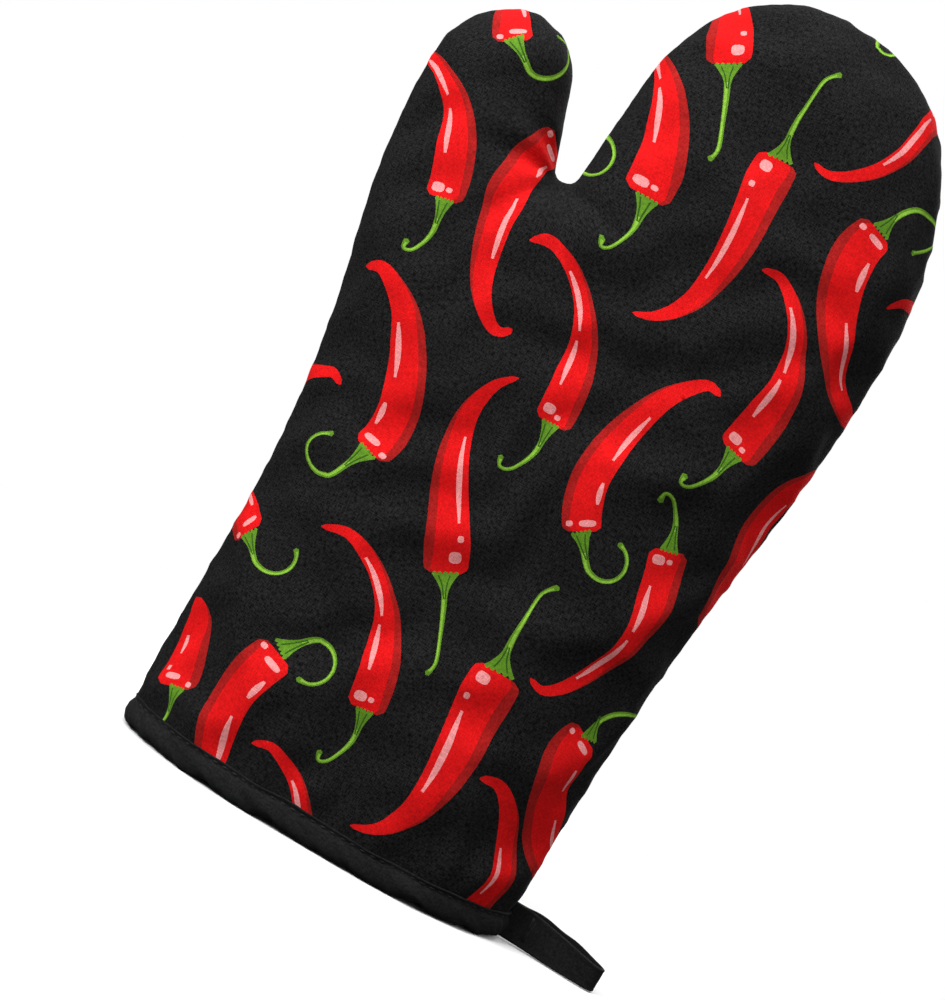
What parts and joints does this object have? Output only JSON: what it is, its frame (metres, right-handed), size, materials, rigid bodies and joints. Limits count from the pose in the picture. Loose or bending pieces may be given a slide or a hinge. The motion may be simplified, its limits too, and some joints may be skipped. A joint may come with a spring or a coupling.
{
  "type": "oven mitt",
  "caption": "Quilted oven mitt with a thumb, padded printed cotton shell, lined and open at a bound cuff, with a tape hanging loop.",
  "frame": {"origin": "centre of the cuff's opening, on the plane of the cuff's edge", "axes": "+Z from the cuff to the fingertips, -Y out of the front panel, -X to the thumb's side, +X to the hanging loop's side"},
  "size_m": [0.1931, 0.0644, 0.3001],
  "materials": {
    "printed_cotton": "matt plain weave cotton, black with a printed pattern of red chilli peppers",
    "batting": "needled cotton wadding",
    "lining_cotton": "matt plain weave cotton lining",
    "binding_tape": "folded cotton bias tape",
    "loop_tape": "folded cotton bias tape",
    "black_thread": "spun polyester sewing thread"
  },
  "bodies": {
    "mitt": {"front_panel": "printed_cotton", "back_panel": "printed_cotton", "front_batting": "batting", "back_batting": "batting", "front_lining": "lining_cotton", "back_lining": "lining_cotton", "shell_seam_thread": "black_thread", "lining_seam_thread": "black_thread", "cuff_binding": "binding_tape", "binding_stitch_outer": "black_thread", "binding_stitch_inner": "black_thread"},
    "loop": {"hang_loop": "loop_tape", "loop_bartack": "black_thread"}
  },
  "joints": [
    {"name": "loop_swing", "type": "hinge", "parent": "mitt", "child": "loop", "pos_m": [0.0708, 0, 0.0066], "axis": [0, 0, 1], "range_deg": [-80, 80]}
  ]
}
